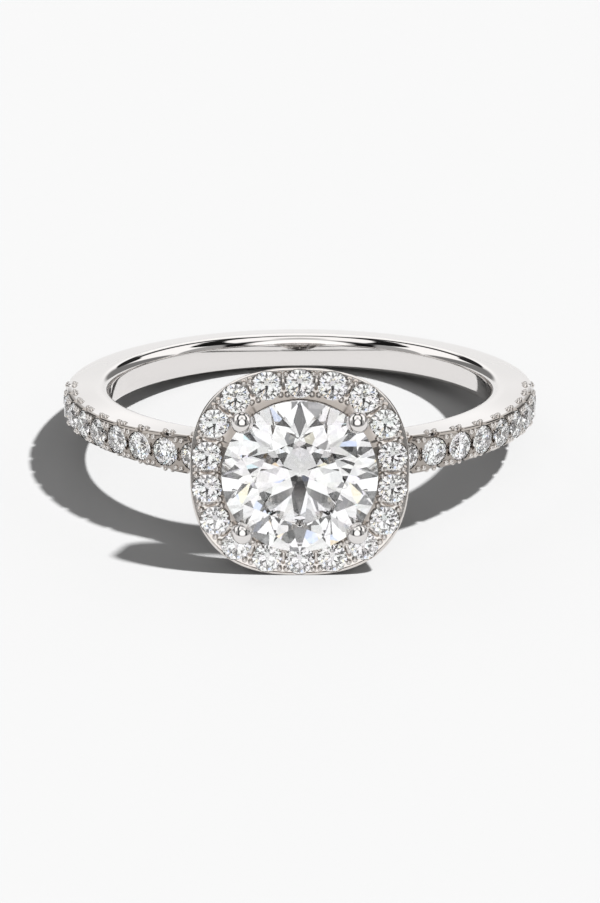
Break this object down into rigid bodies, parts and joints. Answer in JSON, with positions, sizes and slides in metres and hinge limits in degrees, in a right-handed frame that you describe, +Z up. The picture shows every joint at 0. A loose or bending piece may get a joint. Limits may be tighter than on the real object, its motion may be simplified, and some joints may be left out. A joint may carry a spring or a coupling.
{
  "type": "silver halo ring",
  "caption": "White metal ring with a round centre stone in a cushion-shaped halo of small stones and a band set with stones along its front half.",
  "frame": {"origin": "middle of the box's lower face: the surface that the ring lies on is z = 0", "axes": "+Z up, the ring lies on its side with its finger hole's axis tilted back from +Z, the head with the centre stone faces -Y, +X to the right"},
  "size_m": [0.021, 0.0238, 0.0088],
  "materials": {
    "white_metal": "polished",
    "centre_stone": "faceted clear",
    "small_stones": "faceted clear"
  },
  "bodies": {
    "root": {"ring_body": "white_metal", "centre_stone": "centre_stone", "halo_stone_01": "small_stones", "halo_stone_02": "small_stones", "halo_stone_03": "small_stones", "halo_stone_04": "small_stones", "halo_stone_05": "small_stones", "halo_stone_06": "small_stones", "halo_stone_07": "small_stones", "halo_stone_08": "small_stones", "halo_stone_09": "small_stones", "halo_stone_10": "small_stones", "halo_stone_11": "small_stones", "halo_stone_12": "small_stones", "halo_stone_13": "small_stones", "halo_stone_14": "small_stones", "halo_stone_15": "small_stones", "halo_stone_16": "small_stones", "halo_stone_17": "small_stones", "halo_stone_18": "small_stones", "band_stone_left_1": "small_stones", "band_stone_left_2": "small_stones", "band_stone_left_3": "small_stones", "band_stone_left_4": "small_stones", "band_stone_left_5": "small_stones", "band_stone_left_6": "small_stones", "band_stone_left_7": "small_stones", "band_stone_left_8": "small_stones", "band_stone_left_9": "small_stones", "band_stone_right_1": "small_stones", "band_stone_right_2": "small_stones", "band_stone_right_3": "small_stones", "band_stone_right_4": "small_stones", "band_stone_right_5": "small_stones", "band_stone_right_6": "small_stones", "band_stone_right_7": "small_stones", "band_stone_right_8": "small_stones", "band_stone_right_9": "small_stones"}
  },
  "joints": []
}
